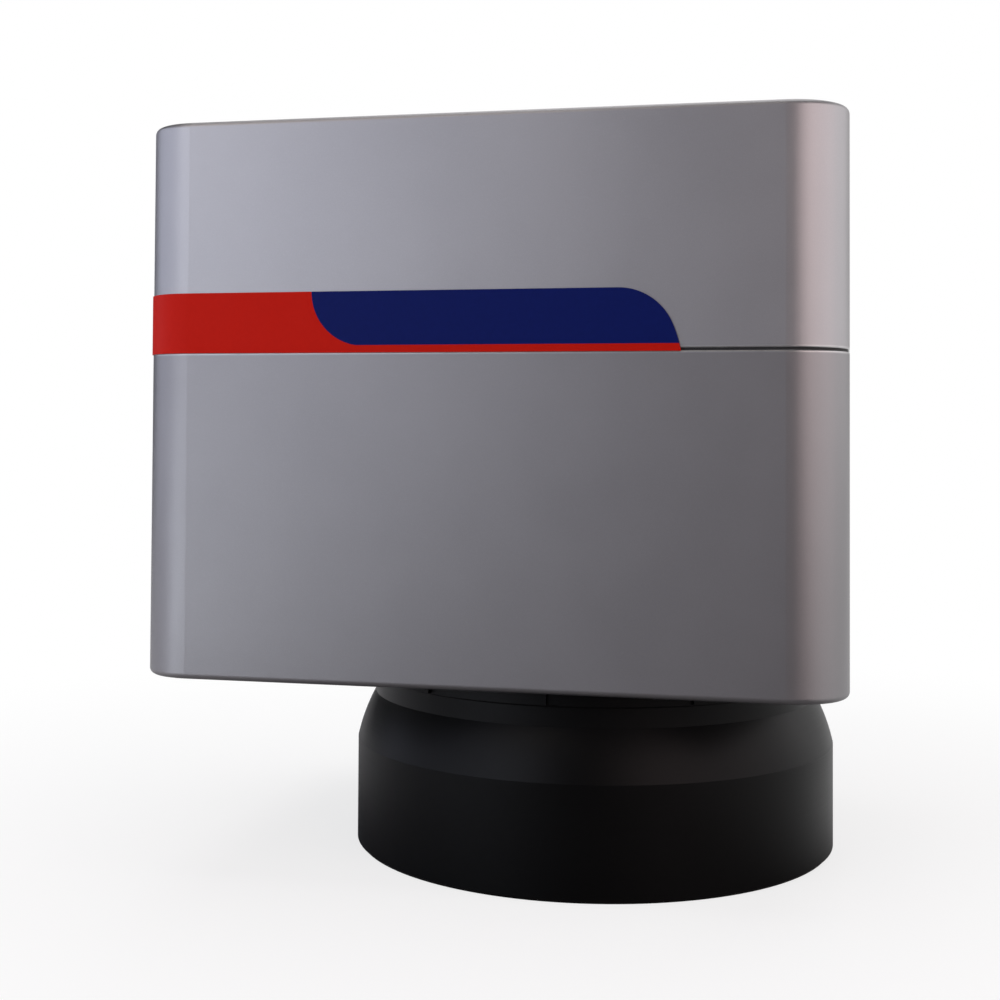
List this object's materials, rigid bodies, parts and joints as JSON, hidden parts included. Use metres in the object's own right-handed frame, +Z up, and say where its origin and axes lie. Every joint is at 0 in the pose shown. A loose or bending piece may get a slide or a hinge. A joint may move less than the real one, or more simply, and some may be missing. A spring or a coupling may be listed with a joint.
{
  "type": "galvo scanner head",
  "caption": "Two-axis laser scanner head: rounded two-part metal case with a colour name band, galvo-driven mirrors inside and a round scan lens screwed in below.",
  "frame": {"origin": "centre of the beam inlet on the mounting face", "axes": "+X is the way the beam enters, +Z is up away from the lens, -Y is the front with the name band"},
  "size_m": [0.1275, 0.0972, 0.1317],
  "materials": {
    "shell_metal": "fine satin silver-grey coat",
    "black_rubber": "matte",
    "label_red": "printed film, satin",
    "label_blue": "printed film, satin",
    "turned_aluminium": "machined",
    "steel": "zinc plated",
    "black_steel": "black oxide",
    "black_anodised": "black anodised, satin",
    "clear_glass": "polished, coated against reflections",
    "coated_glass": "polished, coated against reflections",
    "board_green": "solder mask",
    "brass_plated": "plain",
    "black_plastic": "moulded",
    "can_aluminium": "sleeved can",
    "white_plastic": "moulded nylon",
    "plated_steel": "tin plated",
    "blue_plastic": "moulded",
    "grey_plastic": "ribbon sheath",
    "motor_steel": "ground",
    "copper": "enamelled copper winding",
    "bearing_steel": "ground and polished",
    "magnet_metal": "nickel plated",
    "mirror_coating": "dielectric mirror on silica"
  },
  "bodies": {
    "head": {"board_capacitors": "can_aluminium", "board_chips": "black_plastic", "board_headers": "white_plastic", "board_screws": "steel", "board_standoffs": "brass_plated", "board_transistors": "black_plastic", "clamp_screws": "black_steel", "cover_glass": "clear_glass", "cover_glass_retainer": "black_anodised", "cover_glass_seal": "black_rubber", "cover_posts": "turned_aluminium", "cover_screws": "steel", "detector_boards": "board_green", "entrance_lens": "coated_glass", "exit_lens": "coated_glass", "front_driver_board": "board_green", "galvo_mount": "turned_aluminium", "inlet_retainer": "black_anodised", "inlet_seal": "black_rubber", "inlet_window": "clear_glass", "interface_board": "board_green", "jack_posts": "steel", "label_band": "label_red", "label_panel": "label_blue", "lens_barrel": "black_anodised", "lens_lock_ring": "black_anodised", "lens_retainer": "black_anodised", "lower_housing": "shell_metal", "lower_spacer": "black_anodised", "middle_lens": "coated_glass", "motor_leads": "black_rubber", "mount_screws": "black_steel", "power_connector": "plated_steel", "power_insert": "blue_plastic", "rear_driver_board": "board_green", "ribbon_cables": "grey_plastic", "seam_gasket": "black_rubber", "signal_connector": "plated_steel", "signal_insert": "blue_plastic", "upper_cover": "shell_metal", "upper_spacer": "black_anodised", "x_bearings": "bearing_steel", "x_coil": "copper", "x_motor_cap": "black_anodised", "x_motor_case": "motor_steel", "y_bearings": "bearing_steel", "y_coil": "copper", "y_motor_cap": "black_anodised", "y_motor_case": "motor_steel"},
    "x_rotor": {"x_shaft": "bearing_steel", "x_magnet": "magnet_metal", "x_vane": "plated_steel", "x_mirror_holder": "turned_aluminium", "x_mirror": "mirror_coating"},
    "y_rotor": {"y_shaft": "bearing_steel", "y_magnet": "magnet_metal", "y_vane": "plated_steel", "y_mirror_holder": "turned_aluminium", "y_mirror": "mirror_coating"}
  },
  "joints": [
    {"name": "x_scan", "type": "hinge", "parent": "head", "child": "x_rotor", "pos_m": [0.074, 0, 0.0165], "axis": [0, 0, 1], "range_deg": [-12.5, 12.5]},
    {"name": "y_scan", "type": "hinge", "parent": "head", "child": "y_rotor", "pos_m": [0.051, -0.016, 0], "axis": [1, 0, 0], "range_deg": [-12.5, 12.5]}
  ]
}
